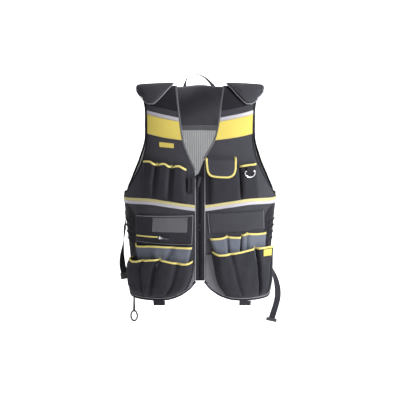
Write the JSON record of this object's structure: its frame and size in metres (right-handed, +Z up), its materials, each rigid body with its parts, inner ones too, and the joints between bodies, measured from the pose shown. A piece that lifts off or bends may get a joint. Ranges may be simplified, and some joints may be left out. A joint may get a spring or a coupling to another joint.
{
  "type": "utility work vest",
  "caption": "Black tool vest with padded shoulders, open V neck, zipped front, yellow and silver bands, gathered tool and cargo pockets, a D-ring and side adjuster straps.",
  "frame": {"origin": "the shoulder seat, midway between the shoulders on the ridge where the vest sits on the wearer or on a hanger", "axes": "+Z up, the front faces -Y, +X to the right as seen from the front"},
  "size_m": [0.5006, 0.2546, 0.7751],
  "materials": {
    "black_binding": "folded tape",
    "black_cloth": "woven polyester",
    "black_plastic": "moulded",
    "clear_window": "clear film",
    "dark_mesh": "fine mesh",
    "grey_cloth": "woven polyester",
    "grey_mesh": "open mesh",
    "metal": "nickel plated",
    "silver_reflective": "reflective tape",
    "webbing": "woven webbing",
    "yellow_binding": "folded tape",
    "yellow_cloth": "plain weave",
    "zip_tape": "zip with plastic coil"
  },
  "bodies": {
    "vest": {"back_yoke": "black_cloth", "back_panel": "grey_mesh", "front_panel_left": "black_cloth", "side_panel_left": "dark_mesh", "front_panel_right": "black_cloth", "side_panel_right": "dark_mesh", "neck_binding": "black_binding", "armhole_binding_left": "black_binding", "armhole_binding_right": "black_binding", "hem_binding": "black_binding", "shoulder_pad_left": "black_cloth", "shoulder_pad_right": "black_cloth", "chest_silver_left": "silver_reflective", "chest_yellow_left": "yellow_cloth", "chest_silver_right": "silver_reflective", "chest_yellow_right": "yellow_cloth", "waist_band_yellow": "yellow_cloth", "waist_band_silver": "silver_reflective", "front_zip": "zip_tape", "tool_pocket": "black_cloth", "tool_pocket_binding": "yellow_binding", "pen_loops": "webbing", "chest_patch": "yellow_cloth", "phone_pocket": "black_cloth", "phone_flap": "black_cloth", "phone_flap_binding": "yellow_binding", "ring_pocket": "black_cloth", "ring_pocket_binding": "yellow_binding", "ring_tab": "webbing", "front_zip_slider": "metal", "window_pocket": "black_cloth", "window": "clear_window", "window_pocket_binding": "yellow_binding", "pocket_zip_slider": "metal", "middle_pocket": "grey_cloth", "middle_pocket_binding": "yellow_binding", "lower_pocket_left": "black_cloth", "lower_pocket_left_binding": "yellow_binding", "document_pocket": "black_cloth", "inner_pocket": "grey_cloth", "inner_pocket_binding": "yellow_binding", "outer_pocket": "grey_cloth", "outer_pocket_binding": "yellow_binding", "lower_pocket_right": "black_cloth", "lower_pocket_right_binding": "yellow_binding", "pocket_label": "yellow_cloth", "facing_left": "grey_mesh", "facing_right": "grey_mesh", "hem_tab_left": "webbing", "hem_tab_right": "webbing", "hang_loop": "webbing", "strap_left": "webbing", "buckle_left": "black_plastic", "strap_right": "webbing", "strap_end_right": "black_plastic", "strap_tail_left": "webbing", "side_lace_right": "webbing"},
    "d_ring": {"d_ring": "metal"},
    "front_zip_pull": {"front_zip_pull": "metal"},
    "pocket_zip_pull": {"pocket_zip_pull": "metal"}
  },
  "joints": [
    {"name": "ring_swing", "type": "hinge", "parent": "vest", "child": "d_ring", "pos_m": [0.14674, -0.12071, -0.24097], "axis": [-0.9338, -0.3577, 0], "range_deg": [0, 140]},
    {"name": "front_pull_swing", "type": "hinge", "parent": "vest", "child": "front_zip_pull", "pos_m": [-0.00085, -0.12978, -0.26277], "axis": [-0.9801, 0.0002, 0.1987], "range_deg": [0, 140]},
    {"name": "pocket_pull_swing", "type": "hinge", "parent": "vest", "child": "pocket_zip_pull", "pos_m": [-0.11619, -0.12281, -0.44032], "axis": [-0.1162, 0.0287, -0.9928], "range_deg": [0, 140]}
  ]
}
